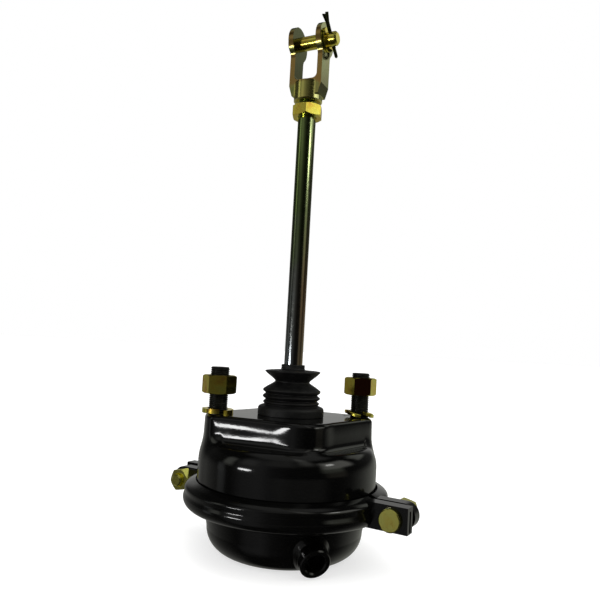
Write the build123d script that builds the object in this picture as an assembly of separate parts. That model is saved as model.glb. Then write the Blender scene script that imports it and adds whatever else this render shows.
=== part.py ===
from build123d import *
import math
import os

# Air brake service chamber: diaphragm chamber with push rod, clevis and dust boot.
# Millimetres. +Z runs along the push rod, out of the chamber. The origin is the
# centre of the mounting face, and the two mounting studs stand on the X axis.

# ---------------------------------------------------------------- driving sizes
STUD_SPACING = 120.65      # 4 3/4 in between the mounting studs
STUD_R = 8.0               # M16 x 1.5, plain grip length
THREAD_R = 7.8             # threaded lengths of the M16 studs
STUD_ROOT_R = 7.75         # stud shank inside the housing
STUD_TOP = 37.0
NUT_AF = 24.0              # M16 hexagon
NUT_H = 14.6
NUT_Z_LEFT = 15.9          # underside of each loose mounting nut
NUT_Z_RIGHT = 18.6
NUT_BORE_R = 8.05

ROD_R = 7.7                # 5/8 in push rod
ROD_BOTTOM = -97.0
ROD_TOP = 283.0
STROKE = 57.0              # rated stroke of a size 20 chamber

CAN_R = 72.3               # non-pressure housing, outer wall
WALL = 2.8
PLATFORM_H = 21.0          # height of the raised mounting platform
SEAT_DEPTH = 0.3           # shallow seats pressed in the mounting face
BOOT_SEAT_R = 28.0
STUD_SEAT_R = 13.0
SHOULDER_R = 10.0

RING_R = 83.0              # clamp ring, outside
RING_T = 3.0
LUG_ANGLE = -45.0          # first clamp lug; the second is opposite
BOLT_RADIUS = 96.0         # clamp bolt axis from the chamber axis
BOLT_Z = -64.0
BOLT_R = 4.9
LUG_END_R = 109.0
GAP_HALF = 3.0             # half the gap between the clamp halves

BOWL_R = 62.9              # pressure housing at the start of its corner
BOWL_CORNER = 18.7
BOWL_Z = -107.4            # flat underside
BOWL_T = 3.0

PORT_ANGLE = -84.8         # air port, round the axis
PORT_TILT = 20.0           # below the horizontal
PORT_MOUTH_R = 71.0
PORT_MOUTH_Z = -95.6
PORT_BOSS_R = 11.5
PORT_R = 7.25              # M16 x 1.5 port, thread wall
PORT_DEPTH = 10.5

CLEVIS_ANGLE = -40.0       # pin axis round the push rod
PIN_Z = 321.0
PIN_R = 6.0
FORK_SLOT = 21.0           # between the two ears
EAR_T = 4.5
LEG_W = 16.0
EAR_R = 14.5
SLOT_BOTTOM = 285.3
HUB_R = 12.3
HUB_BOTTOM = 266.5
JAM_BOTTOM = 253.2
JAM_H = 9.5

os.makedirs("parts", exist_ok=True)


def save(shape, name):
    export_step(shape, f"parts/{name}.step")


def outline(points):
    """Closed (r, z) polygon on the XZ plane, as a face."""
    pts = [(x, 0, z) for x, z in points]
    return make_face(Polyline(*pts, close=True))


def turned(points, arc=360.0):
    return revolve(outline(points), Axis.Z, revolution_arc=arc)


def arc_points(cx, cz, r, a0, a1, n):
    return [
        (cx + r * math.cos(math.radians(a0 + (a1 - a0) * i / n)),
         cz + r * math.sin(math.radians(a0 + (a1 - a0) * i / n)))
        for i in range(n + 1)
    ]


def corner_arc(cx, cz, r, a0, a1):
    """Arc on the XZ plane about (cx, cz), from angle a0 to a1."""
    return ThreePointArc(*[
        (cx + r * math.cos(math.radians(a)), 0, cz + r * math.sin(math.radians(a)))
        for a in (a0, (a0 + a1) / 2, a1)])


def turned_wire(edges):
    """Face on the XZ plane from joined edges, turned about Z."""
    return revolve(make_face(edges), Axis.Z)


def hexagon_nut(af, h, bore_r, z0, chamfer_r=None):
    """Hexagon nut with both ends chamfered, axis Z, underside at z0."""
    corner = af / math.sqrt(3)
    body = extrude(RegularPolygon(corner, 6), h)
    limit = af / 2 + 0.15
    rise = (corner - limit) * math.tan(math.radians(30))
    cone = turned([(0, 0), (limit, 0), (corner + 0.4, rise + 0.23),
                   (corner + 0.4, h - rise - 0.23), (limit, h), (0, h)])
    nut = body & cone
    nut -= Pos(0, 0, h / 2) * Cylinder(bore_r, h + 2)
    lead = 0.9
    nut -= turned([(0, -0.01), (bore_r + lead, -0.01), (bore_r, lead), (0, lead)])
    nut -= turned([(0, h - lead), (bore_r, h - lead), (bore_r + lead, h + 0.01), (0, h + 0.01)])
    return Pos(0, 0, z0) * nut


def direction_plane(origin, z_dir, x_dir=None):
    if x_dir is None:
        return Plane(origin=origin, z_dir=z_dir)
    return Plane(origin=origin, x_dir=x_dir, z_dir=z_dir)


# ------------------------------------------------------- non-pressure housing
def platform_outline():
    """Rounded rhombus, its long ends over the studs."""
    pts = [(-74.0, -10.1), (2.0, -66.5), (74.0, -9.7), (74.0, 10.1), (-2.0, 66.5), (-74.0, 9.7)]
    face = make_face(Polyline(*pts, close=True))
    face = fillet([v for v in face.vertices() if abs(v.X) < 10], 22.0)
    face = Face((face & Circle(70.3)).faces()[0].wrapped)
    return fillet([v for v in face.vertices() if abs(v.X) > 60], 7.0)


plat = platform_outline()
platform_outer = extrude(Pos(0, 0, -30) * plat, 30, taper=1.5)
top_edges = platform_outer.edges().group_by(Axis.Z)[-1]
platform_outer = fillet(top_edges, 4.5)
platform_inner = extrude(Pos(0, 0, -27) * offset(plat, -2.9), 24, taper=1.5)

can_outer = turned_wire([
    Polyline((0, 0, -21), (CAN_R - SHOULDER_R, 0, -21)),
    corner_arc(CAN_R - SHOULDER_R, -31, SHOULDER_R, 90, 0),
    Line((CAN_R, 0, -31), (CAN_R, 0, -54.3)),
    Line((CAN_R, 0, -54.3), (73.0, 0, -55.6)),
    Polyline((73.0, 0, -55.6), (74.1, 0, -56.21), (79.0, 0, -58.26), (77.85, 0, -60.95), (0, 0, -60.95), (0, 0, -21)),
])
can_inner = turned_wire([
    Polyline((0, 0, -23.8), (62.3, 0, -23.8)),
    corner_arc(CAN_R - SHOULDER_R, -31, SHOULDER_R - WALL, 90, 0),
    Polyline((CAN_R - WALL, 0, -31), (CAN_R - WALL, 0, -56.2), (70.3, 0, -57.6), (72.2, 0, -58.6),
             (77.85, 0, -60.95), (77.85, 0, -62), (0, 0, -62), (0, 0, -23.8)),
])
neck = Pos(0, 0, 1.5) * Cylinder(18.5, 7)
housing_solid = can_outer + platform_outer
seats = Pos(0, 0, 2 - SEAT_DEPTH) * Cylinder(BOOT_SEAT_R, 4)
for sx in (-1, 1):
    seats += Pos(sx * STUD_SPACING / 2, 0, 2 - SEAT_DEPTH) * Cylinder(STUD_SEAT_R, 4)
housing_solid -= seats
housing_solid += neck
housing = housing_solid - (can_inner + platform_inner)
housing -= Cylinder(15.8, 40)
for sx in (-1, 1):
    housing -= Pos(sx * STUD_SPACING / 2, 0, -4.5) * Cylinder(STUD_ROOT_R + 0.03, 9.2)
for a in (20, 65, 110, 150):
    # drain and breather holes in the wall
    housing -= Rot(0, 0, a) * Pos(CAN_R, 0, -44) * Rot(0, 90, 0) * Cylinder(4.0, 20)

# --------------------------------------------------------------- stud plate
# its ends are notched for the studs
stud_plate = Pos(0, 0, -9.0) * extrude(offset(plat, -4.6), 5.8)
stud_plate -= Cylinder(17.5, 60)
for sx in (-1, 1):
    stud_plate -= Pos(sx * STUD_SPACING / 2, 0, 0) * Cylinder(STUD_ROOT_R + 0.03, 60)


def stud():
    """M16 stud: head under the plate with a flat on the +X side, plain grip length, threaded above and below it."""
    body = turned([
        (0, -13.0), (10.2, -13.0), (10.9, -12.3), (10.9, -9.05), (STUD_ROOT_R, -9.05), (STUD_ROOT_R, 0.0),
        (THREAD_R, 0.0), (THREAD_R, 6.6), (STUD_R, 6.6), (STUD_R, 14.6), (THREAD_R, 14.6),
        (THREAD_R, STUD_TOP - 1.4), (THREAD_R - 1.3, STUD_TOP), (0, STUD_TOP)])
    return body - Pos(5.0 + 10, 0, -12) * Box(20, 40, 5.9)


def lock_washer(rise, start, bore=8.35, width=4.1, thick=3.6):
    """Split spring washer, its cut ends sprung apart along the axis."""
    mean = bore + width / 2
    helix = Helix(pitch=rise / 0.955, height=rise, radius=mean)
    section = Plane(origin=helix @ 0, x_dir=(1, 0, 0), z_dir=helix % 0) * Rectangle(width, thick)
    ring = sweep(section, helix, is_frenet=True)
    return Rot(0, 0, start) * Pos(0, 0, thick / 2 + 0.05 - SEAT_DEPTH) * ring


# -------------------------------------------------------- pressure housing
bowl_outer = turned_wire([
    Line((0, 0, BOWL_Z), (BOWL_R - BOWL_CORNER, 0, BOWL_Z)),
    corner_arc(BOWL_R - BOWL_CORNER, BOWL_Z + BOWL_CORNER, BOWL_CORNER, -90, 0),
    Polyline((BOWL_R, 0, BOWL_Z + BOWL_CORNER), (65.4, 0, -75.4), (66.0, 0, -73.5), (67.4, 0, -72.34),
             (79.0, 0, -68.56), (78.1, 0, -65.75), (0, 0, -65.75), (0, 0, BOWL_Z)),
])
bowl_inner = turned_wire([
    Line((0, 0, BOWL_Z + BOWL_T), (BOWL_R - BOWL_CORNER, 0, BOWL_Z + BOWL_T)),
    corner_arc(BOWL_R - BOWL_CORNER, BOWL_Z + BOWL_CORNER, BOWL_CORNER - BOWL_T, -90, 0),
    Polyline((BOWL_R - BOWL_T, 0, BOWL_Z + BOWL_CORNER), (62.4, 0, -75.0), (63.2, 0, -72.0), (66.4, 0, -69.55),
             (78.1, 0, -65.75), (78.1, 0, -60), (0, 0, -60), (0, 0, BOWL_Z + BOWL_T)),
])
pa, pt = math.radians(PORT_ANGLE), math.radians(PORT_TILT)
port_dir = Vector(math.cos(pa) * math.cos(pt), math.sin(pa) * math.cos(pt), -math.sin(pt))
port_mouth = Vector(PORT_MOUTH_R * math.cos(pa), PORT_MOUTH_R * math.sin(pa), PORT_MOUTH_Z)
port_plane = Plane(origin=port_mouth, z_dir=port_dir)
boss_blank = port_plane * turned([(0, -20), (PORT_BOSS_R + 3.4, -20), (PORT_BOSS_R + 3.4, -12.0), (PORT_BOSS_R + 2.0, -10.2), (PORT_BOSS_R + 0.6, -8.2), (PORT_BOSS_R, -5.6),
                                  (PORT_BOSS_R, -0.8), (PORT_BOSS_R - 0.8, 0), (0, 0)])
pressure_housing = bowl_outer - bowl_inner - boss_blank
air_port_boss = boss_blank - bowl_inner
air_port_boss -= port_plane * turned([
    (0, -30), (4.6, -30), (4.6, -PORT_DEPTH), (PORT_R, -PORT_DEPTH), (PORT_R, -1.0), (PORT_R + 1.0, 0.01), (0, 0.01)])
# ------------------------------------------------------------- diaphragm
diaphragm = turned(
    [(77.9, -61.3), (77.9, -65.4), (73.2, -66.95), (66.0, -68.9), (62.4, -71.6), (61.2, -74.6), (58.9, -88.5)]
    + arc_points(44.2, -88.7, 14.6, 0, -90, 8)[1:]
    + [(0, -103.3), (0, -100.6), (44.2, -100.6)]
    + arc_points(44.2, -88.7, 11.9, -90, 0, 8)[1:]
    + [(58.4, -74.3), (60.0, -70.0), (64.0, -66.3), (70.2, -63.6), (72.6, -59.4)]
)

# --------------------------------------------------- piston plate and rod
piston_plate = turned(
    [(0, -100.3), (43.0, -100.3)] + arc_points(43.0, -93.3, 7.0, -90, -5, 6)[1:]
    + [(50.1, -90.6), (48.3, -89.8), (46.9, -92.6)] + arc_points(43.0, -93.3, 4.2, -5, -90, 6)[1:]
    + [(15.0, -97.5), (13.0, -96.0), (ROD_R + 0.02, -91.0), (ROD_R + 0.02, -97.0), (0, -97.0)]
)
push_rod = turned([(0, ROD_BOTTOM), (ROD_R, ROD_BOTTOM), (ROD_R, ROD_TOP - 1.2), (ROD_R - 1.2, ROD_TOP), (0, ROD_TOP)])

# ------------------------------------------------------------ return spring
SPRING_WIRE = 5.2
spring_bottom = -97.4 + SPRING_WIRE / 2
spring_top = -9.2 - SPRING_WIRE / 2
spring_height = spring_top - spring_bottom
spring_small, spring_large = 21.5, 34.0
cone = math.degrees(math.atan((spring_large - spring_small) / spring_height))
spring_path = Helix(pitch=spring_height / 5.25, height=spring_height, radius=spring_small, cone_angle=cone)
spring_section = Plane(origin=spring_path @ 0, z_dir=spring_path % 0) * Circle(SPRING_WIRE / 2)
return_spring = Pos(0, 0, spring_bottom) * sweep(spring_section, spring_path, is_frenet=True)

# --------------------------------------------------------------- dust boot
boot_outer = [(27.2, -0.2), (27.3, 5.2), (26.4, 7.2), (24.4, 7.9), (22.4, 8.4), (23.2, 9.6), (23.2, 10.6), (21.3, 12.2),
              (23.7, 14.2), (23.7, 15.2), (21.3, 17.2), (23.9, 19.4), (23.9, 20.5), (14.2, 27.0), (14.2, 27.8),
              (23.2, 35.2), (23.2, 36.3), (10.4, 37.2), (9.8, 37.8), (9.8, 41.5)]
boot_inner = [(8.0, 41.5), (8.0, 36.4), (9.2, 35.4), (20.0, 34.6), (12.2, 28.4), (12.2, 26.2), (21.0, 20.0), (19.2, 17.6),
              (19.2, 16.8), (21.2, 14.7), (19.2, 12.6), (19.2, 11.8), (20.4, 10.1), (19.0, 8.6), (18.8, 6.2), (18.8, -0.2)]
dust_boot = turned(boot_outer + boot_inner)

# -------------------------------------------------------------- clamp ring
clamp_outer_line = [(73.9, -52.6), (77.3, -53.95), (80.1, -55.35), (81.75, -56.8), (82.35, -58.4), (82.1, -60.0), (81.9, -61.2),
                    (82.25, -62.8), (82.85, -64.4), (83.0, -66.2), (82.6, -68.2), (81.5, -70.2), (79.6, -71.9), (76.8, -73.2),
                    (73.2, -74.3), (69.4, -75.3)]
clamp_inner_line = [(69.4, -75.3), (67.6, -74.5), (67.6, -72.55), (79.4, -68.70), (80.0, -68.0), (80.0, -59.1), (79.3, -58.11),
                    (73.9, -55.86), (73.9, -52.6)]
clamp_section = make_face([Spline(*[(x, 0, z) for x, z in clamp_outer_line]), Polyline(*[(x, 0, z) for x, z in clamp_inner_line])])
clamp_inside = turned([(0, -40), (73.9, -40), (73.9, -55.86), (79.3, -58.11), (80.0, -59.1), (80.0, -68.0), (79.4, -68.70),
                       (67.6, -72.55), (67.6, -95), (0, -95)])


def lug_frame(angle):
    """Local frame of a clamp lug: local X outwards, local Y along the bolt, local Z up."""
    return Rot(0, 0, angle)


def block(x0, x1, y0, y1, z0, z1):
    return Pos((x0 + x1) / 2, (y0 + y1) / 2, (z0 + z1) / 2) * Box(x1 - x0, y1 - y0, z1 - z0)


def clamp_half():
    """Half of the V-section ring, with a flat ear under the bolt head at one end and a round ear under the nut at the other."""
    ring = Rot(0, 0, LUG_ANGLE) * revolve(clamp_section, Axis.Z, revolution_arc=-180)
    slab = lug_frame(LUG_ANGLE) * block(-120, 120, -GAP_HALF, GAP_HALF, -90, -40)
    ring -= slab
    head_ear = block(74, LUG_END_R, -13.0, -GAP_HALF, BOLT_Z - 8.6, BOLT_Z + 10.3)
    head_ear -= block(84.5, LUG_END_R + 1, -9.4, -6.4, BOLT_Z - 7.4, BOLT_Z + 7.4)
    head_ear -= Pos(BOLT_RADIUS, 0, BOLT_Z) * Rot(90, 0, 0) * Cylinder(5.25, 60)
    nut_ear = block(74, BOLT_RADIUS + 3.5, GAP_HALF, 14.0, BOLT_Z - 9.6, BOLT_Z + 9.6)
    round_end = Pos(BOLT_RADIUS + 3.5, (GAP_HALF + 14.0) / 2, BOLT_Z) * Rot(90, 0, 0) * Cylinder(9.6, 14.0 - GAP_HALF)
    nut_ear += round_end
    nut_ear = fillet([e for e in nut_ear.edges() if abs(e.center().Y - 14.0) < 0.01 and e.center().X > 80], 1.6)
    nut_ear -= Pos(BOLT_RADIUS, 0, BOLT_Z) * Rot(90, 0, 0) * Cylinder(5.25, 60)
    ears = (lug_frame(LUG_ANGLE) * head_ear - clamp_inside, lug_frame(LUG_ANGLE + 180) * nut_ear - clamp_inside)
    return ring + ears[0] + ears[1]


clamp_front = clamp_half()
clamp_rear = Rot(0, 0, 180) * clamp_front


def clamp_bolt():
    """Round-headed M10 bolt, axis along local Y of the lug."""
    bolt = turned([(0, -16.2), (7.6, -16.2), (8.4, -15.7), (8.5, -15.2), (8.5, -13.05), (BOLT_R, -13.05),
                   (BOLT_R, 25.2), (BOLT_R - 0.9, 26.0), (0, 26.0)])
    return Pos(BOLT_RADIUS, 0, BOLT_Z) * Rot(-90, 0, 0) * bolt


def clamp_nut():
    nut = hexagon_nut(17.0, 8.4, 4.95, 14.05)
    return Pos(BOLT_RADIUS, 0, BOLT_Z) * Rot(-90, 0, 0) * Rot(0, 0, 12) * nut


# ------------------------------------------------------------- clevis end
jam_nut = Rot(0, 0, 10) * hexagon_nut(NUT_AF, JAM_H, ROD_R + 0.03, JAM_BOTTOM)
half = FORK_SLOT / 2 + EAR_T

# fork in its own frame: X along the pin, Y across the leg, Z up
hub = turned([(0, HUB_BOTTOM), (HUB_R - 1.0, HUB_BOTTOM), (HUB_R, HUB_BOTTOM + 1.0), (HUB_R, SLOT_BOTTOM - 2), (0, SLOT_BOTTOM - 2)])
side = make_face(Polyline((-HUB_R, 0, 271.5), (-half, 0, 280.5), (-half, 0, PIN_Z + 20), (half, 0, PIN_Z + 20),
                          (half, 0, 280.5), (HUB_R, 0, 271.5), close=True))
fork = extrude(side, 30, both=True)
ear_profile = (Pos(0, 290) * Rectangle(LEG_W, 50)) + (Pos(0, PIN_Z) * Circle(EAR_R))
neck_v = [v for v in ear_profile.vertices() if PIN_Z - EAR_R < v.Y < PIN_Z]
ear_profile = fillet(neck_v, 7.0)
fork_profile = extrude(Plane.YZ * ear_profile, 40, both=True)
fork = fork & fork_profile
slot_tool = make_face(Polyline((-FORK_SLOT / 2, 0, SLOT_BOTTOM), (FORK_SLOT / 2, 0, SLOT_BOTTOM),
                               (FORK_SLOT / 2, 0, PIN_Z + 40), (-FORK_SLOT / 2, 0, PIN_Z + 40), close=True))
slot_tool = fillet([v for v in slot_tool.vertices() if v.Z < SLOT_BOTTOM + 1], 4.0)
slot_solid = extrude(slot_tool, 40, both=True)
clevis = (hub + fork) - slot_solid
clevis -= Pos(0, 0, 270) * Cylinder(ROD_R + 0.03, 60)
clevis -= Pos(0, 0, PIN_Z) * Rot(0, 90, 0) * Cylinder(PIN_R + 0.05, 60)
clevis = Rot(0, 0, CLEVIS_ANGLE) * clevis

# pin along local X
HEAD_T = 3.0
pin_start = -half - 0.3
pin_end = half + 10.2
COTTER_S = half + 4.4
pin = Rot(0, 90, 0) * turned([(0, pin_start - HEAD_T), (8.0, pin_start - HEAD_T), (8.6, pin_start - HEAD_T + 0.7), (8.6, pin_start),
                              (PIN_R, pin_start), (PIN_R, pin_end - 1.6), (PIN_R - 1.5, pin_end), (0, pin_end)])
lean = math.radians(49.0)      # the split pin leans from the vertical towards local -Y
cot_dir = Vector(0, -math.sin(lean), math.cos(lean))
cot_plane = Plane(origin=(COTTER_S, 0, 0), x_dir=(1, 0, 0), z_dir=cot_dir)
pin -= cot_plane * Cylinder(1.85, 40)
pin_washer = Pos(half + 0.3 + 0.65, 0, 0) * Rot(0, 90, 0) * (Cylinder(10.2, 1.3) - Cylinder(PIN_R + 0.05, 4))

# split pin: closed shank with an eye below, two half-round legs spread at the tip
shank_r = 1.6
shank = Pos(0, 0, 3.5) * Cylinder(shank_r, 23.0)
leg = Pos(0, 0, 18.3) * Cylinder(shank_r, 8.0) & block(0.0, 3, -3, 3, 10, 30)
leg_a = Pos(0, 0, 14.6) * Rot(0, 14, 0) * Pos(0, 0, -14.6) * leg
leg_b = Pos(0, 0, 14.6) * Rot(0, -14, 0) * Pos(0, 0, -14.6) * mirror(leg, Plane.YZ)
eye = Pos(0, 0, -11.9) * Rot(90, 0, 0) * Torus(3.1, 1.35)
cotter = Rot(0, 0, 68) * (shank + leg_a + leg_b) + Rot(0, 0, 114) * eye
cotter = cot_plane * cotter
at_pin = Rot(0, 0, CLEVIS_ANGLE) * Pos(0, 0, PIN_Z)
clevis_pin = at_pin * pin
pin_washer = at_pin * pin_washer
cotter_pin = at_pin * cotter

# --------------------------------------------------------------- write parts
save(housing, "non_pressure_housing")
save(stud_plate, "stud_plate")
for sx, side_name in ((-1, "left"), (1, "right")):
    save(Pos(sx * STUD_SPACING / 2, 0, 0) * Rot(0, 0, 0 if sx > 0 else 180) * stud(), f"mounting_stud_{side_name}")
save(Pos(-STUD_SPACING / 2, 0, 0) * (Rot(0, 0, -14) * hexagon_nut(NUT_AF, NUT_H, NUT_BORE_R, NUT_Z_LEFT)), "mounting_nut_left")
save(Pos(STUD_SPACING / 2, 0, 0) * (Rot(0, 0, -12) * hexagon_nut(NUT_AF, NUT_H, NUT_BORE_R, NUT_Z_RIGHT)), "mounting_nut_right")
save(Pos(-STUD_SPACING / 2, 0, 0) * lock_washer(0.9, -75), "lock_washer_left")
save(Pos(STUD_SPACING / 2, 0, 0) * lock_washer(2.6, -95), "lock_washer_right")
save(dust_boot, "dust_boot")
save(pressure_housing, "pressure_housing")
save(air_port_boss, "air_port_boss")
save(diaphragm, "diaphragm")
save(piston_plate, "piston_plate")
save(push_rod, "push_rod")
save(return_spring, "return_spring")
save(clamp_front, "clamp_half_front")
save(clamp_rear, "clamp_half_rear")
save(lug_frame(LUG_ANGLE) * clamp_bolt(), "clamp_bolt_right")
save(lug_frame(LUG_ANGLE + 180) * clamp_bolt(), "clamp_bolt_left")
save(lug_frame(LUG_ANGLE) * clamp_nut(), "clamp_nut_right")
save(lug_frame(LUG_ANGLE + 180) * clamp_nut(), "clamp_nut_left")
save(jam_nut, "jam_nut")
save(clevis, "clevis")
save(clevis_pin, "clevis_pin")
save(pin_washer, "pin_washer")
save(cotter_pin, "cotter_pin")
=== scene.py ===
import math

import bmesh
import bpy
import numpy as np
from mathutils import Matrix, Vector


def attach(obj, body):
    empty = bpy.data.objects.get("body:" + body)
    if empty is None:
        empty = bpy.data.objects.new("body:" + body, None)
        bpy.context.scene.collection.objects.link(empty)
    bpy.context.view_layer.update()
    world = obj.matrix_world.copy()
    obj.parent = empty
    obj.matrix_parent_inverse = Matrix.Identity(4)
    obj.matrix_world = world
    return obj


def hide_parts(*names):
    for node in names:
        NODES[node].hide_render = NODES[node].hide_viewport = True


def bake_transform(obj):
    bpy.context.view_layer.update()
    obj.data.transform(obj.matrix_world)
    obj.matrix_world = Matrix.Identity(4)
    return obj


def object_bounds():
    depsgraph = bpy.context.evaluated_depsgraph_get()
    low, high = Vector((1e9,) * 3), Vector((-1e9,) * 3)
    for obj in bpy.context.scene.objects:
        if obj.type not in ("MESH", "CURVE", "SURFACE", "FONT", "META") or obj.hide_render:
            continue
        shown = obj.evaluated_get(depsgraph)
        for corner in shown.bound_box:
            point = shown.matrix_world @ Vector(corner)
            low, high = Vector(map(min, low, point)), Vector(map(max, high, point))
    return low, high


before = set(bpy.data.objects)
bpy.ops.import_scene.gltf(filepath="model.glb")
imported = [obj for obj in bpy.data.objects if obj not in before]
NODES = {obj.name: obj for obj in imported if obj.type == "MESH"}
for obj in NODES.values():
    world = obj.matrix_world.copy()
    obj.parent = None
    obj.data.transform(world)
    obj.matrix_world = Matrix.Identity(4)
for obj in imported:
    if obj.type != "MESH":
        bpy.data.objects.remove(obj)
CAD_LO, CAD_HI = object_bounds()
scene = bpy.context.scene
scene.view_settings.view_transform = "Standard"
scene.view_settings.look = "None"

MM = 0.001

# ------------------------------------------------------------------ camera
AZ, DIST, HEIGHT = -0.2472, 494.7, 54.8
PITCH, ROLL, YAW_OFF = -0.0827, -0.0553, -0.0053


def make_camera():
    pos = np.array([math.sin(AZ) * DIST, -math.cos(AZ) * DIST, HEIGHT])
    a = AZ + YAW_OFF
    fwd = np.array([-math.sin(a) * math.cos(PITCH), math.cos(a) * math.cos(PITCH), -math.sin(PITCH)])
    right = np.array([math.cos(a), math.sin(a), 0.0])
    up = np.cross(right, fwd)
    r2 = right * math.cos(ROLL) - up * math.sin(ROLL)
    u2 = up * math.cos(ROLL) + right * math.sin(ROLL)
    cam = bpy.data.cameras.new("camera")
    cam.sensor_width = 36.0
    cam.lens = 590.0 / 600.0 * 36.0
    cam.clip_start, cam.clip_end = 0.01, 100.0
    obj = bpy.data.objects.new("camera", cam)
    m = Matrix.Identity(4)
    for i in range(3):
        m[i][0], m[i][1], m[i][2], m[i][3] = r2[i], u2[i], -fwd[i], pos[i] * MM
    obj.matrix_world = m
    scene.collection.objects.link(obj)
    scene.camera = obj


make_camera()


# ------------------------------------------------------------ node helpers
class Tree:
    def __init__(self, tree):
        self.t = tree
        self.n = tree.nodes
        self.l = tree.links
        self.n.clear()

    def node(self, kind, **props):
        n = self.n.new(kind)
        for k, v in props.items():
            setattr(n, k, v)
        return n

    def put(self, socket, value):
        if isinstance(value, bpy.types.NodeSocket):
            self.l.new(value, socket)
        else:
            socket.default_value = value

    def math(self, op, a, b=0.0, c=0.0, clamp=False):
        n = self.node("ShaderNodeMath", operation=op, use_clamp=clamp)
        self.put(n.inputs[0], a)
        self.put(n.inputs[1], b)
        self.put(n.inputs[2], c)
        return n.outputs[0]

    def smooth(self, value, lo, hi, a=0.0, b=1.0, kind="SMOOTHSTEP"):
        n = self.node("ShaderNodeMapRange", interpolation_type=kind, clamp=True)
        self.put(n.inputs["Value"], value)
        n.inputs["From Min"].default_value = lo
        n.inputs["From Max"].default_value = hi
        n.inputs["To Min"].default_value = a
        n.inputs["To Max"].default_value = b
        return n.outputs["Result"]

    def mix(self, fac, a, b, blend="MIX"):
        n = self.node("ShaderNodeMix", data_type="RGBA", blend_type=blend)
        self.put(n.inputs[0], fac)
        self.put(n.inputs[6], a)
        self.put(n.inputs[7], b)
        return n.outputs[2]

    def coords(self):
        return self.node("ShaderNodeTexCoord").outputs["Object"]

    def scaled(self, vec, s):
        n = self.node("ShaderNodeVectorMath", operation="MULTIPLY")
        self.put(n.inputs[0], vec)
        n.inputs[1].default_value = s
        return n.outputs[0]

    def noise(self, vec, scale, detail=3.0, rough=0.5, distortion=0.0):
        n = self.node("ShaderNodeTexNoise")
        self.put(n.inputs["Vector"], vec)
        n.inputs["Scale"].default_value = scale
        n.inputs["Detail"].default_value = detail
        n.inputs["Roughness"].default_value = rough
        n.inputs["Distortion"].default_value = distortion
        return n.outputs["Fac"]

    def ramp(self, fac, stops, mode="LINEAR"):
        n = self.node("ShaderNodeValToRGB")
        n.color_ramp.interpolation = mode
        while len(n.color_ramp.elements) < len(stops):
            n.color_ramp.elements.new(0.5)
        for e, (p, c) in zip(n.color_ramp.elements, stops):
            e.position = p
            e.color = (*c, 1.0)
        self.put(n.inputs[0], fac)
        return n.outputs[0]

    def bump(self, height, strength, distance, normal=None):
        n = self.node("ShaderNodeBump")
        n.inputs["Strength"].default_value = strength
        n.inputs["Distance"].default_value = distance
        self.put(n.inputs["Height"], height)
        if normal is not None:
            self.put(n.inputs["Normal"], normal)
        return n.outputs["Normal"]

    def split(self, vec):
        n = self.node("ShaderNodeSeparateXYZ")
        self.put(n.inputs[0], vec)
        return n.outputs


def rgb(c):
    return (c[0], c[1], c[2], 1.0)


def material(name, build, **fixed):
    m = bpy.data.materials.new(name)
    m.use_nodes = True
    t = Tree(m.node_tree)
    out = t.node("ShaderNodeOutputMaterial")
    p = t.node("ShaderNodeBsdfPrincipled")
    t.l.new(p.outputs[0], out.inputs[0])
    for k, v in fixed.items():
        p.inputs[k.replace("_", " ")].default_value = v
    build(t, p)
    return m


# --------------------------------------------------------------- materials
def black_paint(t, p):
    """Gloss black enamel: faint orange peel, soft cloudiness in the gloss, specks of dust."""
    v = t.coords()
    cloud = t.noise(v, 38.0, 3.0, 0.55)
    peel = t.noise(v, 520.0, 2.0, 0.5)
    wave = t.noise(v, 60.0, 1.0, 0.5)
    dust = t.smooth(t.noise(v, 2600.0, 2.0, 0.6), 0.68, 0.78)
    t.put(p.inputs["Base Color"], t.mix(dust, t.mix(cloud, rgb((0.0007, 0.0007, 0.0007)), rgb((0.0013, 0.0013, 0.0012))), rgb((0.005, 0.005, 0.0045))))
    rough = t.math("ADD", t.smooth(cloud, 0.3, 0.75, 0.07, 0.13), t.math("MULTIPLY", dust, 0.10))
    t.put(p.inputs["Roughness"], rough)
    h = t.math("ADD", t.math("MULTIPLY", peel, 0.35), wave)
    t.put(p.inputs["Normal"], t.bump(h, 0.10, 0.0006))


def zinc(stops, tint_scale, rough_lo, rough_hi, bands=None):
    def build(t, p):
        """Passivated zinc: iridescent drift of colour, fine turning and handling marks."""
        v = t.coords()
        drift = t.noise(v, tint_scale, 3.0, 0.55, 0.6)
        fine = t.noise(v, 1500.0, 3.0, 0.6)
        stain = t.noise(v, 420.0, 4.0, 0.65)
        fac = t.math("ADD", t.math("MULTIPLY", t.math("SUBTRACT", drift, 0.5), 1.7), t.math("ADD", 0.5, t.math("MULTIPLY", t.math("SUBTRACT", stain, 0.5), 0.35)), clamp=True)
        c = t.ramp(fac, stops)
        worn = t.smooth(stain, 0.60, 0.74)
        t.put(p.inputs["Base Color"], t.mix(t.math("MULTIPLY", worn, 0.45), c, rgb((0.22, 0.17, 0.05))))
        t.put(p.inputs["Roughness"], t.smooth(fine, 0.3, 0.7, rough_lo, rough_hi))
        streak = t.noise(t.scaled(v, (1.0, 1.0, 0.12)), 1900.0, 2.0, 0.5)
        t.put(p.inputs["Normal"], t.bump(t.math("ADD", streak, t.math("MULTIPLY", stain, 0.5)), 0.06, 0.0002))
    return build


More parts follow.
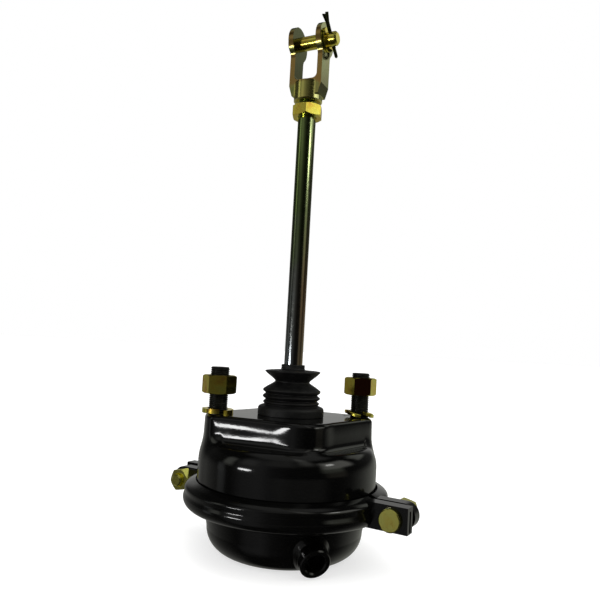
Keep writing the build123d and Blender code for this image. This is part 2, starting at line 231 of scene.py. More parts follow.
YELLOW = [(0.0, (0.66, 0.74, 0.10)), (0.25, (0.88, 0.84, 0.15)), (0.5, (0.94, 0.80, 0.12)), (0.72, (0.90, 0.66, 0.09)), (0.88, (0.74, 0.38, 0.09)), (1.0, (0.46, 0.20, 0.10))]
PALE = [(0.0, (0.82, 0.86, 0.22)), (0.3, (0.95, 0.93, 0.24)), (0.6, (0.97, 0.91, 0.22)), (0.85, (0.95, 0.82, 0.18)), (1.0, (0.84, 0.60, 0.17))]
OLIVE = [(0.0, (0.16, 0.22, 0.05)), (0.3, (0.34, 0.38, 0.11)), (0.5, (0.44, 0.42, 0.13)), (0.7, (0.48, 0.36, 0.11)), (0.86, (0.46, 0.24, 0.08)), (1.0, (0.18, 0.26, 0.08))]


FORK_U = (math.cos(math.radians(-40.0)), math.sin(math.radians(-40.0)), 0.0)      # along the clevis pin
FORK_V = (-FORK_U[1], FORK_U[0], 0.0)


def dot(t, vec, axis):
    n = t.node("ShaderNodeVectorMath", operation="DOT_PRODUCT")
    t.put(n.inputs[0], vec)
    n.inputs[1].default_value = axis
    return n.outputs["Value"]


def clevis_zinc(t, p):
    """Olive passivation on the forging, yellower on the hub. Colour set by facing is painted light: a brown painted
    reflection on the fork's narrow edges, a lighter grey-green painted highlight on its outward flanks, a near-black
    painted shade on the inner faces of the slot.
    """
    zinc(OLIVE, 60.0, 0.14, 0.24)(t, p)
    base = p.inputs["Base Color"].links[0].from_socket
    n = t.node("ShaderNodeTexCoord").outputs["Normal"]
    v = t.coords()
    z = t.split(v)[2]
    nu, nv, u = dot(t, n, FORK_U), dot(t, n, FORK_V), dot(t, v, FORK_U)
    above = t.smooth(z, 0.280, 0.284)
    # painted reflection: brown on the narrow faces that point across the fork, above the hub
    painted_edge_reflection = t.math("MULTIPLY", above, t.math("MULTIPLY", t.smooth(t.math("ABSOLUTE", nv), 0.80, 0.95), 0.8))
    outward = t.math("MULTIPLY", nu, t.math("SIGN", u))
    # painted highlight: lighter grey-green on the faces that point out of the fork
    painted_flank_highlight = t.math("MULTIPLY", t.smooth(outward, 0.6, 0.9), 0.7)
    # painted shade: near-black on the faces that point into the slot between the ears
    inner = t.math("MULTIPLY", t.smooth(t.math("MULTIPLY", outward, -1.0), 0.6, 0.9), 0.88)
    x, y, _ = t.split(v)[:]
    rr = t.math("ADD", t.math("MULTIPLY", x, x), t.math("MULTIPLY", y, y))
    on_hub = t.math("MULTIPLY", t.math("SUBTRACT", 1.0, t.smooth(z, 0.281, 0.2845)), t.math("SUBTRACT", 1.0, t.smooth(rr, 0.000162, 0.000172)))
    c = t.mix(t.math("MULTIPLY", on_hub, 0.8), base, rgb((0.86, 0.80, 0.22)))
    # lay the painted reflection, painted highlight and painted shade over the zinc colour
    c = t.mix(painted_edge_reflection, c, rgb((0.46, 0.27, 0.08)))
    c = t.mix(painted_flank_highlight, c, rgb((0.56, 0.60, 0.32)))
    c = t.mix(inner, c, rgb((0.055, 0.065, 0.015)))
    t.put(p.inputs["Base Color"], c)


def yellow_zinc_painted_facet(t, p):
    """Yellow zinc with a maroon painted reflection on the flat that faces the camera."""
    zinc(YELLOW, 70.0, 0.13, 0.20)(t, p)
    base = p.inputs["Base Color"].links[0].from_socket
    n = t.node("ShaderNodeTexCoord").outputs["Normal"]
    a = math.radians(-102.0)
    # painted reflection: maroon on the nut flat that faces the camera
    painted_facet_mask = t.smooth(dot(t, n, (math.cos(a), math.sin(a), 0.0)), 0.93, 0.985)
    t.put(p.inputs["Base Color"], t.mix(painted_facet_mask, base, rgb((0.30, 0.085, 0.035))))


def rod_zinc(t, p):
    """Drawn push rod: passivation colour drifting along it to greenish near the fork, fine lines along it. The two
    halves either side of x = 0 get separate ramps, blue-grey on the -x half and lighter brown on the +x half towards
    the chamber: painted reflection colour.
    """
    v = t.coords()
    x, y, z = t.split(v)[:]
    along = t.math("ADD", t.smooth(z, 0.03, 0.27, 0.0, 1.0, "LINEAR"), t.math("MULTIPLY", t.math("SUBTRACT", t.noise(v, 26.0, 3.0, 0.6, 0.5), 0.5), 0.55), clamp=True)
    # painted reflection colour: the +x half of the rod gets a lighter, browner ramp than the -x half
    side = t.smooth(x, -0.005, 0.006)
    left = t.ramp(along, [(0.0, (0.26, 0.28, 0.29)), (0.35, (0.25, 0.26, 0.23)), (0.6, (0.17, 0.24, 0.08)), (1.0, (0.30, 0.41, 0.13))])
    right = t.ramp(along, [(0.0, (0.30, 0.24, 0.15)), (0.3, (0.42, 0.27, 0.15)), (0.6, (0.28, 0.31, 0.17)), (1.0, (0.42, 0.49, 0.24))])
    base = t.mix(side, left, right)
    stain = t.noise(v, 330.0, 4.0, 0.6)
    t.put(p.inputs["Base Color"], t.mix(t.smooth(stain, 0.58, 0.75, 0.0, 0.5), base, rgb((0.09, 0.09, 0.06))))
    lines = t.noise(t.scaled(v, (1.0, 1.0, 0.02)), 2600.0, 3.0, 0.6)
    t.put(p.inputs["Roughness"], t.smooth(stain, 0.3, 0.7, 0.09, 0.19))
    t.put(p.inputs["Normal"], t.bump(lines, 0.14, 0.0002))


def rubber(t, p):
    """Matt moulded rubber with patches of bloom."""
    v = t.coords()
    grain = t.noise(v, 3200.0, 3.0, 0.6)
    cloud = t.noise(v, 160.0, 4.0, 0.6)
    bloom = t.smooth(cloud, 0.45, 0.75)
    t.put(p.inputs["Base Color"], t.mix(bloom, rgb((0.0012, 0.0012, 0.0012)), rgb((0.0034, 0.0034, 0.0032))))
    t.put(p.inputs["Roughness"], t.smooth(cloud, 0.3, 0.7, 0.46, 0.62))
    t.put(p.inputs["Normal"], t.bump(t.math("ADD", grain, t.math("MULTIPLY", cloud, 1.5)), 0.35, 0.0004))


def dull_steel(dark, light, rough_lo, rough_hi):
    def build(t, p):
        """Bare or oiled steel: mottled scale and fine scratches."""
        v = t.coords()
        scale_marks = t.noise(v, 300.0, 5.0, 0.65)
        scratch = t.noise(t.scaled(v, (1.0, 0.2, 1.0)), 2400.0, 2.0, 0.5)
        t.put(p.inputs["Base Color"], t.mix(t.smooth(scale_marks, 0.35, 0.7), rgb(dark), rgb(light)))
        t.put(p.inputs["Roughness"], t.smooth(scale_marks, 0.3, 0.7, rough_lo, rough_hi))
        t.put(p.inputs["Normal"], t.bump(t.math("ADD", scratch, scale_marks), 0.25, 0.0003))
    return build


MATS = {
    "black_gloss": material("black_gloss", black_paint, Metallic=0.0, IOR=1.5),
    "stud_black": material("stud_black", dull_steel((0.003, 0.003, 0.0022), (0.010, 0.010, 0.007), 0.30, 0.46), Metallic=0.2),
    "yellow_zinc": material("yellow_zinc", zinc(YELLOW, 70.0, 0.13, 0.22), Metallic=1.0),
    "yellow_zinc_painted_facet": material("yellow_zinc_painted_facet", yellow_zinc_painted_facet, Metallic=1.0),
    "pale_zinc": material("pale_zinc", zinc(PALE, 70.0, 0.18, 0.27), Metallic=1.0),
    "olive_zinc": material("olive_zinc", clevis_zinc, Metallic=1.0),
    "rod_zinc": material("rod_zinc", rod_zinc, Metallic=1.0),
    "boot_rubber": material("boot_rubber", rubber, Metallic=0.0),
    "diaphragm_rubber": material("diaphragm_rubber", rubber, Metallic=0.0),
    "plain_steel": material("plain_steel", dull_steel((0.16, 0.16, 0.15), (0.34, 0.33, 0.31), 0.30, 0.48), Metallic=1.0),
    "spring_steel": material("spring_steel", dull_steel((0.06, 0.062, 0.066), (0.15, 0.15, 0.15), 0.28, 0.42), Metallic=1.0),
    "cotter_steel": material("cotter_steel", dull_steel((0.035, 0.045, 0.02), (0.12, 0.13, 0.06), 0.30, 0.50), Metallic=1.0),
}

FINISH = {
    "black_gloss": ["non_pressure_housing", "pressure_housing", "air_port_boss", "clamp_half_front", "clamp_half_rear"],
    "stud_black": ["mounting_stud_left", "mounting_stud_right"],
    "yellow_zinc_painted_facet": ["mounting_nut_right"],
    "yellow_zinc": ["mounting_nut_left", "lock_washer_left", "lock_washer_right", "jam_nut", "clevis_pin", "pin_washer"],
    "pale_zinc": ["clamp_bolt_right", "clamp_bolt_left", "clamp_nut_right", "clamp_nut_left"],
    "olive_zinc": ["clevis"],
    "rod_zinc": ["push_rod"],
    "plain_steel": ["stud_plate", "piston_plate"],
    "cotter_steel": ["cotter_pin"],
}


def dress(obj, slot):
    obj.data.materials.clear()
    obj.data.materials.append(MATS[slot])


for slot, names in FINISH.items():
    for name in names:
        o = NODES[name]
        if not o.material_slots:
            o.data.materials.append(MATS[slot])
        for s in o.material_slots:
            s.material = MATS[slot]


# ------------------------------------------------------------ mesh helpers
def mesh_object(name, verts, faces, slot, smooth=True, angle=None):
    me = bpy.data.meshes.new(name)
    me.from_pydata([tuple(v) for v in verts], [], [tuple(f) for f in faces])
    me.validate()
    bm = bmesh.new()
    bm.from_mesh(me)
    bmesh.ops.recalc_face_normals(bm, faces=bm.faces[:])
    bm.to_mesh(me)
    bm.free()
    me.polygons.foreach_set("use_smooth", [smooth] * len(me.polygons))
    if angle is not None:
        me.set_sharp_from_angle(angle=math.radians(angle))
    o = bpy.data.objects.new(name, me)
    scene.collection.objects.link(o)
    dress(o, slot)
    return o


def grid_faces(rows, cols, wrap=True, base=0):
    out = []
    for i in range(rows - 1):
        for j in range(cols if wrap else cols - 1):
            k = (j + 1) % cols
            out.append((base + i * cols + j, base + i * cols + k, base + (i + 1) * cols + k, base + (i + 1) * cols + j))
    return out


def smooth_line(points, per=6, closed=False):
    """Points of a Catmull-Rom line through the given ones; a point given twice stays a sharp corner."""
    pts = [np.array(p, float) for p in points]
    n = len(pts)
    out = []
    for i in range(n if closed else n - 1):
        p1, p2 = pts[i], pts[(i + 1) % n]
        if np.allclose(p1, p2):
            continue
        p0 = pts[i - 1] if (closed or i > 0) else 2 * p1 - p2
        p3 = pts[(i + 2) % n] if (closed or i + 2 < n) else 2 * p2 - p1
        if np.allclose(p0, p1):
            p0 = 2 * p1 - p2
        if np.allclose(p3, p2):
            p3 = 2 * p2 - p1
        d = np.linalg.norm(p2 - p1)
        m1 = (p2 - p0) / (np.linalg.norm(p1 - p0) + d) * d
        m2 = (p3 - p1) / (np.linalg.norm(p3 - p2) + d) * d
        for k in range(per):
            t = k / per
            h00, h10, h01, h11 = 2 * t**3 - 3 * t**2 + 1, t**3 - 2 * t**2 + t, -2 * t**3 + 3 * t**2, t**3 - t**2
            out.append(h00 * p1 + h10 * m1 + h01 * p2 + h11 * m2)
    if not closed:
        out.append(pts[-1])
    return out


def lathe(name, profile, slot, segments=128, closed=False, warp=None, angle=None):
    """Turned piece from an (r, z) line in millimetres."""
    verts = []
    for r, z in profile:
        for j in range(segments):
            a = 2 * math.pi * j / segments
            x, y, zz = r * math.cos(a), r * math.sin(a), z
            if warp:
                x, y, zz = warp(x, y, zz, a, r)
            verts.append((x * MM, y * MM, zz * MM))
    rows = len(profile)
    faces = grid_faces(rows, segments)
    if closed:
        for j in range(segments):
            k = (j + 1) % segments
            faces.append(((rows - 1) * segments + j, (rows - 1) * segments + k, k, j))
    else:
        faces.append(tuple(range(segments)))
        faces.append(tuple((rows - 1) * segments + j for j in range(segments)))
    return mesh_object(name, verts, faces, slot, angle=angle)


# --------------------------------------------------------------- dust boot
BOOT_OUT = [(27.1, 0.0), (27.1, 0.0), (27.3, 0.9), (27.25, 4.9), (26.9, 6.2), (26.2, 7.0), (25.0, 7.6), (23.4, 8.2), (22.4, 8.7), (22.3, 9.0), (22.9, 9.7), (23.2, 10.3), (22.8, 11.1),
            (21.5, 12.0), (21.4, 12.5), (22.9, 13.7), (23.7, 14.6), (23.7, 15.0), (22.9, 15.9), (21.5, 17.0), (21.4, 17.5), (23.0, 18.8), (23.9, 19.8), (23.6, 20.8), (20.6, 23.0),
            (15.6, 26.2), (14.3, 27.4), (15.3, 28.9), (19.4, 32.2), (22.8, 35.1), (23.2, 35.8), (22.6, 36.3), (16.5, 36.9), (11.2, 37.3), (10.1, 37.8), (9.8, 38.6), (9.8, 41.0), (9.5, 41.4), (9.0, 41.5), (9.0, 41.5)]
BOOT_IN = [(8.1, 41.5), (7.95, 41.2), (7.95, 38.0), (8.4, 36.4), (9.8, 35.5), (18.6, 34.7), (19.6, 34.2), (18.2, 33.0), (12.9, 28.9), (12.4, 27.4), (13.2, 25.9), (20.2, 20.8), (20.6, 20.0),
           (19.4, 18.2), (19.3, 16.9), (20.8, 15.0), (20.9, 14.6), (19.4, 13.0), (19.3, 11.8), (20.2, 10.4), (19.2, 8.6), (18.9, 6.4), (18.8, 0.3), (19.2, 0.0), (19.2, 0.0)]


def boot_warp(x, y, z, a, r):
    # moulded rubber is never quite round: folds lean and bulge a little
    k = min(max((z - 8.0) / 6.0, 0.0), 1.0) * min(max((41.0 - z) / 3.0, 0.0), 1.0)
    s = 1.0 + k * (0.008 * math.sin(2 * a + 0.7 + z * 0.11) + 0.006 * math.sin(3 * a + 1.9 - z * 0.2))
    dz = k * (0.22 * math.sin(a + 2.1 + 0.15 * z) + 0.12 * math.sin(3 * a + 0.4 * z)) * min(1.0, r / 20.0)
    lim = 27.25 if z < 8 else 23.85
    rr = min(r * s, lim) / r
    return x * rr, y * rr, min(z + dz, 41.5)


boot = lathe("dust_boot_rubber", smooth_line(BOOT_OUT, 4) + smooth_line(BOOT_IN, 3), "boot_rubber", 144, closed=True, warp=boot_warp)
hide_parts("dust_boot")
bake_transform(boot)

# --------------------------------------------------------------- diaphragm
DIA = [(77.8, -65.3), (77.8, -65.3), (73.2, -66.9), (66.6, -68.7), (63.2, -70.8), (61.5, -74.2), (60.6, -79.0), (58.9, -88.5), (58.5, -92.2), (55.2, -98.2), (50.2, -102.0), (44.2, -103.2), (34.0, -103.25), (16.0, -103.25), (2.0, -103.25),
       (0.4, -103.25), (0.4, -100.65), (2.0, -100.65), (16.0, -100.65), (34.0, -100.65), (44.2, -100.6), (49.4, -99.4), (53.2, -96.6), (55.8, -91.6), (56.2, -88.5), (58.0, -77.0), (58.9, -72.8), (61.0, -69.2), (64.4, -66.2), (70.0, -63.8), (72.4, -59.6), (73.0, -59.5), (77.4, -61.2), (77.8, -61.6), (77.8, -61.6)]
dia = lathe("diaphragm_rubber", smooth_line(DIA, 3), "diaphragm_rubber", 120, closed=True)
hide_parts("diaphragm")
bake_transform(dia)


# ------------------------------------------------------------ return spring
def tube(name, centre, radius, slot, sides=16):
    c = np.array(centre)
    tan = np.gradient(c, axis=0)
    tan /= np.linalg.norm(tan, axis=1)[:, None]
    up = np.array([0, 0, 1.0])
    verts = []
    for i in range(len(c)):
        b = np.cross(tan[i], up)
        b /= np.linalg.norm(b)
        n = np.cross(b, tan[i])
        for j in range(sides):
            a = 2 * math.pi * j / sides
            verts.append(c[i] + radius * (math.cos(a) * b + math.sin(a) * n))
    faces = grid_faces(len(c), sides)
    faces.append(tuple(range(sides)))
    faces.append(tuple((len(c) - 1) * sides + j for j in range(sides)))
    return mesh_object(name, np.array(verts) * MM, faces, slot)


turns, z_lo, z_hi, r_lo, r_hi = 5.25, -97.4 + 2.7, -9.2 - 2.7, 21.5, 34.0
path = []
for i in range(361):
    s = i / 360.0
    r = r_lo + (r_hi - r_lo) * s
    path.append((r * math.cos(2 * math.pi * turns * s), r * math.sin(2 * math.pi * turns * s), z_lo + (z_hi - z_lo) * s))
spring = tube("return_spring_wire", path, 2.6, "spring_steel")
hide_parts("return_spring")
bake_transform(spring)


# ------------------------------------------------------------------ threads
def thread_r(z, a, crest, root, pitch):
    """Radius of a right-hand 60 degree thread with small flats, in millimetres."""
    ph = (z / pitch - a / (2 * math.pi)) % 1.0
    w = abs(ph - 0.5) * 2
    k = min(max((w - 0.10) / 0.72, 0.0), 1.0)
    return crest - (crest - root) * k


def threaded_bar(name, sections, slot, cuts=None, segments=72, step=0.1875):
    """A bar along Z from (z0, z1, kind, size...) sections; threads are cut in the mesh."""
    zs, radii = [], []
    for sec in sections:
        z0, z1, kind = sec[0], sec[1], sec[2]
        n = max(1, int(round((z1 - z0) / step))) if kind == "thread" else max(1, int(round((z1 - z0) / 12.0)))
        for i in range(n + 1):
            z = z0 + (z1 - z0) * i / n
            row = []
            for j in range(segments):
                a = 2 * math.pi * j / segments
                if kind == "thread":
                    r = thread_r(z, a, sec[3], sec[4], sec[5])
                    lead = sec[6] if len(sec) > 6 else 0.0
                    if lead:
                        r = min(r, sec[4] - 0.25 + (z1 - z) * 1.1)
                    run = min(1.0, (z - z0) / 1.2) if len(sec) > 7 and sec[7] else 1.0
                    r = sec[3] + (r - sec[3]) * run
                else:
                    r = sec[3] + (sec[4] - sec[3]) * i / n
                if cuts:
                    r = cuts(z, a, r)
                row.append(r)
            zs.append(z)
            radii.append(row)
    verts = []
    for z, row in zip(zs, radii):
        for j, r in enumerate(row):
            a = 2 * math.pi * j / segments
            verts.append((r * math.cos(a) * MM, r * math.sin(a) * MM, z * MM))
    faces = grid_faces(len(zs), segments)
    faces.append(tuple(range(segments)))
    faces.append(tuple((len(zs) - 1) * segments + j for j in range(segments)))
    return mesh_object(name, verts, faces, slot, angle=38)


STUD_X = 60.325
for side, sx in (("left", -1), ("right", 1)):
    def head_cut(z, a, r, flip=(sx < 0)):
        if z <= -9.05:
            c = math.cos(a) * (-1 if flip else 1)
            if c > 0.01:
                return min(r, 5.0 / c)
        return r
    s = threaded_bar(f"mounting_stud_{side}_threaded", [
        (-13.0, -12.3, "plain", 10.2, 10.9), (-12.3, -9.06, "plain", 10.9, 10.9), (-9.05, -9.049, "plain", 10.9, 7.74), (-9.04, -0.1, "plain", 7.74, 7.74),
        (-0.09, 37.0, "thread", 7.74, 6.95, 1.5, 1, True)], "stud_black", cuts=head_cut)
    s.data.transform(Matrix.Translation((sx * STUD_X * MM, 0, 0)))
    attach(s, "chamber")
    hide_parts(f"mounting_stud_{side}")

rod = threaded_bar("push_rod_threaded", [
    (-97.0, 252.6, "plain", 7.7, 7.7), (252.61, 283.0, "thread", 7.7, 6.9, 1.411, 1, True)], "rod_zinc")
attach(rod, "push_rod")
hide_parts("push_rod")


# --------------------------------------------------- sprung lock washer, right
def sprung_washer(name, cx, gap_az, line, inner_r, width, thick, steps=96):
    """Split spring washer: line gives (turn from the gap, mid height) pairs in degrees and millimetres."""
    ang, zc = zip(*line)
    verts = []
    for i in range(steps + 1):
        f = 4.0 + (352.0) * i / steps
        # smooth interpolation of the mid height
        k = max(m for m in range(len(ang) - 1) if ang[m] <= f)
        w = (f - ang[k]) / (ang[k + 1] - ang[k])
        w = w * w * (3 - 2 * w) if 0 < k < len(ang) - 2 else w
        z = zc[k] + (zc[k + 1] - zc[k]) * w
        a = math.radians(gap_az - f)
        c = 0.45
        for u, h in ((0, c), (c, 0), (width - c, 0), (width, c), (width, thick - c), (width - c, thick), (c, thick), (0, thick - c)):
            r = inner_r + u
            verts.append(((cx + r * math.cos(a)) * MM, r * math.sin(a) * MM, (z - thick / 2 + h) * MM))
    faces = grid_faces(steps + 1, 8)
    faces.append(tuple(range(8)))
    faces.append(tuple(steps * 8 + j for j in range(8)))
    o = mesh_object(name, verts, faces, "yellow_zinc", angle=35)
    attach(o, "chamber")
    return o


washer = sprung_washer("lock_washer_right_sprung", STUD_X, -100.0, [(0, 1.2), (75, 4.35), (180, 2.7), (285, 1.2), (360, 4.35)], 8.35, 4.1, 2.9)
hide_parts("lock_washer_right")


# ---------------------------------------------------- non-pressure housing
def smax(a, b, k):
    h = np.maximum(k - np.abs(a - b), 0.0) / k
    return np.maximum(a, b) + h * h * k * 0.25


def smin(a, b, k):
    return -smax(-a, -b, k)


def side_plane(x, y, p, q):
    """Signed distance outside the line from p to q, the inside on its left."""
    dx, dy = q[0] - p[0], q[1] - p[1]
    length = math.hypot(dx, dy)
    return ((x - p[0]) * dy - (y - p[1]) * dx) / length


def platform_plan(x, y):
    a = smax(side_plane(x, y, (-74.0, -10.1), (2.0, -66.5)), side_plane(x, y, (2.0, -66.5), (74.0, -9.7)), 20.0)
    b = smax(side_plane(x, y, (74.0, 10.1), (-2.0, 66.5)), side_plane(x, y, (-2.0, 66.5), (-74.0, 9.7)), 20.0)
    return smax(smax(a, b, 6.0), np.hypot(x, y) - 70.3, 6.0)


def rounded(a, b, r):
    return np.hypot(np.maximum(a + r, 0), np.maximum(b + r, 0)) + np.minimum(np.maximum(a + r, b + r), 0) - r


def housing_distance(x, y, z):
    """Pressed steel shell: a crowned raised platform flowing into the round shoulder of the can."""
    # the raised front is slightly waisted: it leans in towards the top edge and flares out towards the valley
    ax = np.abs(x)
    ease = lambda lo, hi: (lambda q: q * q * (3.0 - 2.0 * q))(np.clip((ax - lo) / (hi - lo), 0.0, 1.0))
    t = np.clip(z + 19.0, 0.0, 19.0)
    d = t - 8.5
    least = 0.035 - 0.025 * ease(22.0, 50.0)
    lean = least * t + 0.020 * np.maximum(d, 0.0) ** 2 / 2 + 0.016 * (8.5 ** 2 - np.maximum(-d, 0.0) ** 2) / 2
    crown = (0.2 + 0.8 * ease(12.0, 24.0)) * (1.0 - ease(61.0, 69.0))
    wall = platform_plan(x, y) + 0.02 * (z + 30.0) + crown * lean
    plat = rounded(wall, z, 3.6 - 1.0 * crown)
    r = np.hypot(x, y)
    u, v = np.maximum(r - 62.3, 0.0) / 10.0, np.maximum(z + 37.0, 0.0) / 16.0
    can = np.maximum((np.hypot(u, v) - 1.0) * 10.0, np.where(r < 62.3, z + 21.0, -50.0))
    can = np.where(z < -37.0, r - 72.3, can)
    return smin(plat, can, 5.5)


def shell_rows(level, angles, columns):
    """Points where rays fanning out from inside the shell meet that level of the distance, one row for each angle."""
    th = 2 * np.pi * np.arange(columns) / columns
    ct, st = np.cos(th)[None, :], np.sin(th)[None, :]
    ca, sa = np.cos(angles)[:, None], np.sin(angles)[:, None]
    lo, hi = np.full((len(angles), columns), 8.0), np.full((len(angles), columns), 95.0)
    for _ in range(34):
        mid = (lo + hi) / 2
        r, z = 30.0 + mid * ca, -50.0 + mid * sa
        inside = housing_distance(r * ct, r * st, z) < level
        lo, hi = np.where(inside, mid, lo), np.where(inside, hi, mid)
    r, z = 30.0 + lo * ca, -50.0 + lo * sa
    return np.stack([r * ct, r * st, z], -1)


def build_housing():
    cols = 360
    wall_z = np.arange(-53.5, -36.9, 1.0)
    a0 = np.arctan2(wall_z + 50.0, 42.3)
    rest = np.linspace(math.atan2(13.6, 42.3), math.atan2(50.0, -11.45), 176)
    angles = np.concatenate([a0, rest])
    outer, inner = shell_rows(0.0, angles, cols), shell_rows(-2.8, angles, cols)
    # shallow seats under the boot and the washers
    near = (np.hypot(outer[..., 0], outer[..., 1]) < 27.9) | (np.hypot(np.abs(outer[..., 0]) - 60.325, outer[..., 1]) < 12.9)
    outer[..., 2] = np.where(near, np.minimum(outer[..., 2], -0.3), outer[..., 2])
    # wall holes
    th = 2 * np.pi * np.arange(cols) / cols
    gone = np.zeros((len(angles), cols), bool)
    for deg in (20, 65, 110, 150):
        for i in range(len(angles)):
            for j in range(cols):
                if abs(outer[i, j, 2] + 44.0) > 7:
                    break
                d = (th[j] - math.radians(deg) + math.pi) % (2 * math.pi) - math.pi
                u, v = d * 72.3, outer[i, j, 2] + 44.0
                rho = math.hypot(u, v)
                if rho > 4.7:
                    continue
                if rho > 3.35:
                    k = 4.0 / rho
                    nu, nv = u * k, v * k
                    for grid in (outer, inner):
                        r = math.hypot(grid[i, j, 0], grid[i, j, 1])
                        a = math.radians(deg) + nu / 72.3
                        grid[i, j] = (r * math.cos(a), r * math.sin(a), grid[i, j, 2] + nv - v)
                gone[i, j] = True
    ring = lambda r, z: np.stack([r * np.cos(th), r * np.sin(th), np.full(cols, z)], -1)[None]
    rows = np.concatenate([ring(77.85, -60.95), ring(79.0, -58.3), ring(74.2, -56.25), ring(73.0, -55.6), ring(72.4, -54.6), outer,
                           ring(18.5, -0.3), ring(18.5, 4.6), ring(18.1, 5.0), ring(16.2, 5.0), ring(15.8, 4.6), ring(15.8, -2.8),
                           inner[::-1], ring(69.5, -54.6), ring(69.6, -56.2), ring(70.3, -57.6), ring(72.2, -58.6)])
    n, first = len(rows), 5
    last = first + len(angles)
    inner_row = lambda i: n - 5 - i           # row of inner[i]
    hole = set()
    for i in range(len(angles) - 1):
        for j in range(cols):
            k = (j + 1) % cols
            if gone[i, j] and gone[i, k] and gone[i + 1, j] and gone[i + 1, k]:
                hole.add((i, j))
    faces = []
    for i in range(n):
        i2 = (i + 1) % n
        for j in range(cols):
            k = (j + 1) % cols
            if first <= i < last - 1 and (i - first, j) in hole:
                continue
            if inner_row(len(angles) - 1) <= i < inner_row(0) and (n - 5 - i - 1, j) in hole:
                continue
            faces.append((i * cols + j, i * cols + k, i2 * cols + k, i2 * cols + j))
    for i, j in hole:
        k = (j + 1) % cols
        for (di, dj), (p, q) in {(-1, 0): ((i, j), (i, k)), (1, 0): ((i + 1, j), (i + 1, k)), (0, -1): ((i, j), (i + 1, j)), (0, 1): ((i, k), (i + 1, k))}.items():
            if (i + di, (j + dj) % cols) in hole:
                continue
            a, b = (first + p[0]) * cols + p[1], (first + q[0]) * cols + q[1]
            c, d = inner_row(q[0]) * cols + q[1], inner_row(p[0]) * cols + p[1]
            faces.append((a, b, c, d))
    o = mesh_object("non_pressure_housing_shell", rows.reshape(-1, 3) * MM, faces, "black_gloss", angle=40)
    bm = bmesh.new()
    bm.from_mesh(o.data)
    bmesh.ops.delete(bm, geom=[v for v in bm.verts if not v.link_faces], context="VERTS")
    bm.to_mesh(o.data)
    bm.free()
    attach(o, "chamber")
    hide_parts("non_pressure_housing")


build_housing()


# --------------------------------------------------------------- the studio
def area(name, az, el, dist, target, w, h, radiance, colour=(1, 1, 1), glossy=True, diffuse=True, shape="RECTANGLE"):
    """A soft box at that direction from target, facing it. radiance is in Blender's units of background brightness."""
    a, e = math.radians(az), math.radians(el)
    d = Vector((math.cos(a) * math.cos(e), math.sin(a) * math.cos(e), math.sin(e)))
    light = bpy.data.lights.new(name, "AREA")
    light.shape = shape
    light.size, light.size_y = w, h
    light.energy = radiance * w * h * math.pi
    light.color = colour
    o = bpy.data.objects.new(name, light)
    o.location = Vector(target) + d * dist
    o.rotation_mode = "QUATERNION"
    o.rotation_quaternion = (-d).to_track_quat("-Z", "Y")
    o.visible_camera = False
    o.visible_glossy = glossy
    o.visible_diffuse = diffuse
    scene.collection.objects.link(o)
    return o


area("key", -154.8, 3.2, 0.62, (0, 0, -0.02), 0.185, 0.052, 17.0, shape="ELLIPSE")
area("right_high", -46, 33, 0.9, (0, 0, -0.02), 0.16, 0.10, 6.0, (1.0, 1.0, 0.97))

for k, (tilt, turn, power) in enumerate([(0, 0, 1.6), (38, 20, 0.95), (38, 140, 0.95), (38, 260, 0.95)]):
    sun = bpy.data.lights.new(f"overhead_{k}", "SUN")
    sun.angle = math.radians(100)
    sun.energy = power
    so = bpy.data.objects.new(f"overhead_{k}", sun)
    so.rotation_euler = (math.radians(tilt), 0, math.radians(turn))
    so.visible_glossy = False
    so.visible_camera = False
    scene.collection.objects.link(so)

world = bpy.data.worlds.new("studio")
scene.world = world
world.use_nodes = True
wt = Tree(world.node_tree)
wout = wt.node("ShaderNodeOutputWorld")
direction = wt.node("ShaderNodeTexCoord").outputs["Generated"]
wx, wy, wz = wt.split(direction)[:]
wel = wt.math("MULTIPLY", wt.math("ARCSINE", wz), 180 / math.pi)


def azimuth_from(centre):
    """Signed angle in degrees from that azimuth."""
    c, s = math.cos(math.radians(centre)), math.sin(math.radians(centre))
    u = wt.math("ADD", wt.math("MULTIPLY", wx, c), wt.math("MULTIPLY", wy, s))
    v = wt.math("SUBTRACT", wt.math("MULTIPLY", wy, c), wt.math("MULTIPLY", wx, s))
    return wt.math("MULTIPLY", wt.math("ARCTAN2", v, u), 180 / math.pi)


def lobe(az, half, soft, e0, e1, esoft):
    a = wt.math("ABSOLUTE", azimuth_from(az))
    fa = wt.smooth(a, half - soft, half + soft, 1.0, 0.0)
    fe = wt.math("MULTIPLY", wt.smooth(wel, e0 - esoft, e0 + esoft), wt.smooth(wel, e1 - esoft, e1 + esoft, 1.0, 0.0))
    return wt.math("MULTIPLY", fa, fe)


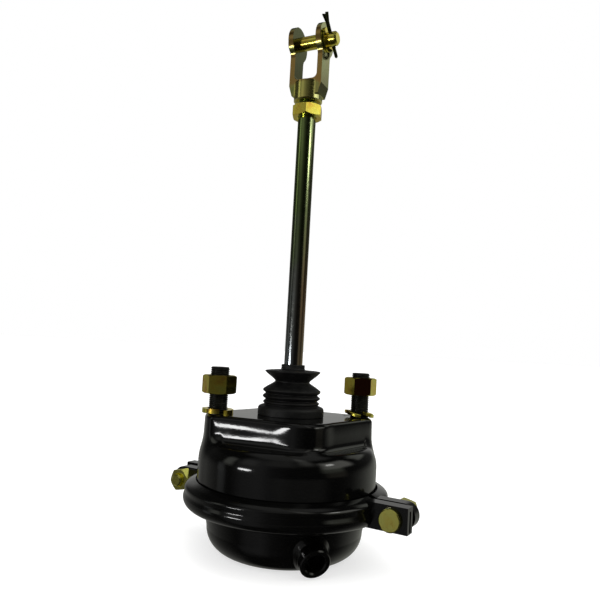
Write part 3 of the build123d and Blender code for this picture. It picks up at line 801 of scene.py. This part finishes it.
env = wt.mix(0.0, rgb((0.012, 0.012, 0.0115)), rgb((0, 0, 0)))
for az, half, soft, e0, e1, esoft, col in [
    (75, 75, 45, -60, 0, 9, (0.20, 0.20, 0.185)),        # pale room behind, low
    (75, 75, 45, -6, 30, 8, (0.05, 0.05, 0.047)),        # and higher up
    (28, 30, 20, -50, 2, 7, (0.14, 0.145, 0.12)),        # right, behind
    (76, 26, 12, -1, 22, 5, (0.34, 0.34, 0.33)),         # bright strip behind, seen in the top face
    (24, 14, 6, 25, 44, 4, (0.50, 0.52, 0.46)),          # lights the fork's outer flank
    (-44, 15, 6, 9, 24, 5, (0.42, 0.44, 0.36)),          # right strip
    (-33, 24, 6, 21, 46, 5, (1.15, 1.15, 1.05)),         # its bright upper end
    (-40, 14, 6, -6, 9, 4, (0.15, 0.14, 0.11)),          # its dimmer lower end
    (-185, 7, 4, 9, 34, 6, (0.60, 0.62, 0.55)),          # left strip
    (-194, 6, 3, -14, 7, 5, (0.22, 0.23, 0.23)),         # its lower end
    (-158, 12, 8, 20, 44, 8, (0.20, 0.20, 0.19)),        # left front, high
    (-128, 20, 14, -45, 36, 14, (0.045, 0.045, 0.045)),  # dim room beside the camera
    (-150, 20, 12, -45, 60, 14, (0.12, 0.12, 0.12)),     # left front fill
    (-112, 20, 12, 30, 62, 8, (0.18, 0.18, 0.17)),       # over the camera
    (0, 400, 1, 62, 100, 7, (0.24, 0.24, 0.23)),         # overhead
    (-88, 34, 12, -15.5, -10.5, 1.2, (0.08, 0.08, 0.075)),   # dim strip low in front
    (-75, 10, 8, 38, 80, 10, (0.5, 0.5, 0.46)),
]:
    m = wt.mix(lobe(az, half, soft, e0, e1, esoft), rgb((0, 0, 0)), rgb(col))
    env = wt.mix(1.0, env, m, "ADD")
bg_env = wt.node("ShaderNodeBackground")
wt.put(bg_env.inputs[0], env)
bg_cam = wt.node("ShaderNodeBackground")
bg_cam.inputs[0].default_value = (1.0, 1.0, 1.0, 1.0)
pick = wt.node("ShaderNodeMixShader")
wt.put(pick.inputs[0], wt.node("ShaderNodeLightPath").outputs["Is Camera Ray"])
wt.l.new(bg_env.outputs[0], pick.inputs[1])
wt.l.new(bg_cam.outputs[0], pick.inputs[2])
wt.l.new(pick.outputs[0], wout.inputs[0])

floor_mat = material("floor_pale", lambda t, p: t.put(p.inputs["Base Color"], t.mix(t.noise(t.coords(), 9.0, 2.0), rgb((0.46, 0.46, 0.46)), rgb((0.50, 0.50, 0.50)))), Roughness=0.85,
                     Emission_Color=(1.0, 1.0, 1.0, 1.0), Emission_Strength=0.66)
fm = bpy.data.meshes.new("floor")
FZ = CAD_LO.z - 0.0002
fm.from_pydata([(-30, -30, FZ), (30, -30, FZ), (30, 30, FZ), (-30, 30, FZ)], [], [(0, 1, 2, 3)])
floor = bpy.data.objects.new("floor", fm)
fm.materials.append(floor_mat)
floor.visible_glossy = False
scene.collection.objects.link(floor)
